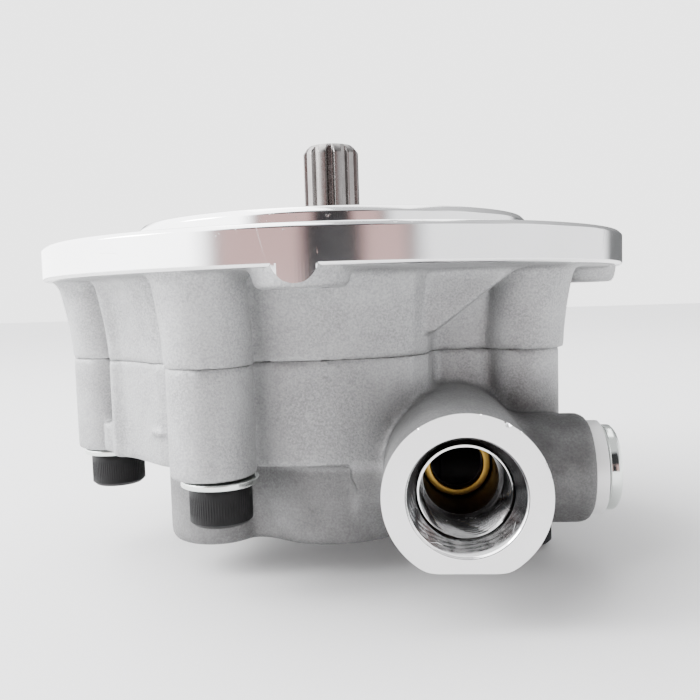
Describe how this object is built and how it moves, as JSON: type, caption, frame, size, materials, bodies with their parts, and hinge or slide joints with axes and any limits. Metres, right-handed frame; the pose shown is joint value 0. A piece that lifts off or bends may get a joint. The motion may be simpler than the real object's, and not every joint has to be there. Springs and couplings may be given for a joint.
{
  "type": "hydraulic gear pump",
  "caption": "Flange-mounted gear pump with a round pilot flange, a splined drive shaft, a cast aluminium body, a threaded outlet and a plugged side valve bore.",
  "frame": {"origin": "on the drive shaft's axis, in the plane of the flange's mounting face", "axes": "+Z along the shaft, out of the pump towards its driver; -Y is the way the outlet port faces; +X is the side with the valve plug"},
  "size_m": [0.184, 0.184, 0.1252],
  "materials": {
    "cast_aluminium": "sand-textured casting, machined bright on the flange, pilot and port faces",
    "steel": "ground, lightly oiled",
    "gear_steel": "ground and case-hardened",
    "black_oxide": "black oxide, satin",
    "zinc_plate": "bright zinc plating",
    "brass": "satin",
    "rubber": "matt"
  },
  "bodies": {
    "pump_body": {"front_housing": "cast_aluminium", "rear_housing": "cast_aluminium", "front_drive_bushing": "brass", "front_driven_bushing": "brass", "rear_drive_bushing": "brass", "rear_driven_bushing": "brass", "front_plate_seal": "rubber", "front_wear_plate": "brass", "rear_wear_plate": "brass", "rear_plate_seal": "rubber", "housing_seal": "rubber", "shaft_seal": "rubber", "seal_retaining_ring": "steel", "dowel_pin_1": "steel", "dowel_pin_2": "steel", "body_washer_a": "zinc_plate", "body_washer_b": "zinc_plate", "body_washer_d": "zinc_plate", "body_washer_e": "zinc_plate", "body_washer_f": "zinc_plate", "body_screw_a": "black_oxide", "body_screw_b": "black_oxide", "body_screw_d": "black_oxide", "body_screw_e": "black_oxide", "body_screw_f": "black_oxide", "orifice_ring": "brass", "valve_spring": "steel", "plug_seal": "rubber", "valve_plug": "zinc_plate"},
    "drive_rotor": {"drive_shaft": "steel", "drive_gear": "gear_steel", "drive_key": "gear_steel"},
    "driven_rotor": {"driven_shaft": "steel", "driven_gear": "gear_steel", "driven_key": "gear_steel"},
    "spool_group": {"valve_spool": "black_oxide", "relief_seat": "brass", "relief_spring": "steel"},
    "poppet_group": {"relief_ball": "steel", "relief_guide": "steel"}
  },
  "joints": [
    {"name": "drive_spin", "type": "hinge", "parent": "pump_body", "child": "drive_rotor", "pos_m": [0, 0, -0.0483], "axis": [0, 0, 1], "continuous": true},
    {"name": "driven_spin", "type": "hinge", "parent": "pump_body", "child": "driven_rotor", "pos_m": [0.002, -0.034, -0.0483], "axis": [0, 0, 1], "continuous": true},
    {"name": "spool_slide", "type": "slide", "parent": "pump_body", "child": "spool_group", "axis": [1, 0, 0], "range_m": [0, 0.0075], "stiffness_N_per_m": 4000, "springref_m": -0.004, "deforming": ["valve_spring"]},
    {"name": "relief_lift", "type": "slide", "parent": "spool_group", "child": "poppet_group", "axis": [1, 0, 0], "range_m": [0, 0.0012], "stiffness_N_per_m": 3000, "springref_m": -0.003, "deforming": ["relief_spring"]}
  ],
  "couplings": [
    {"joint": "driven_spin", "follows": "drive_spin", "ratio": -1}
  ]
}
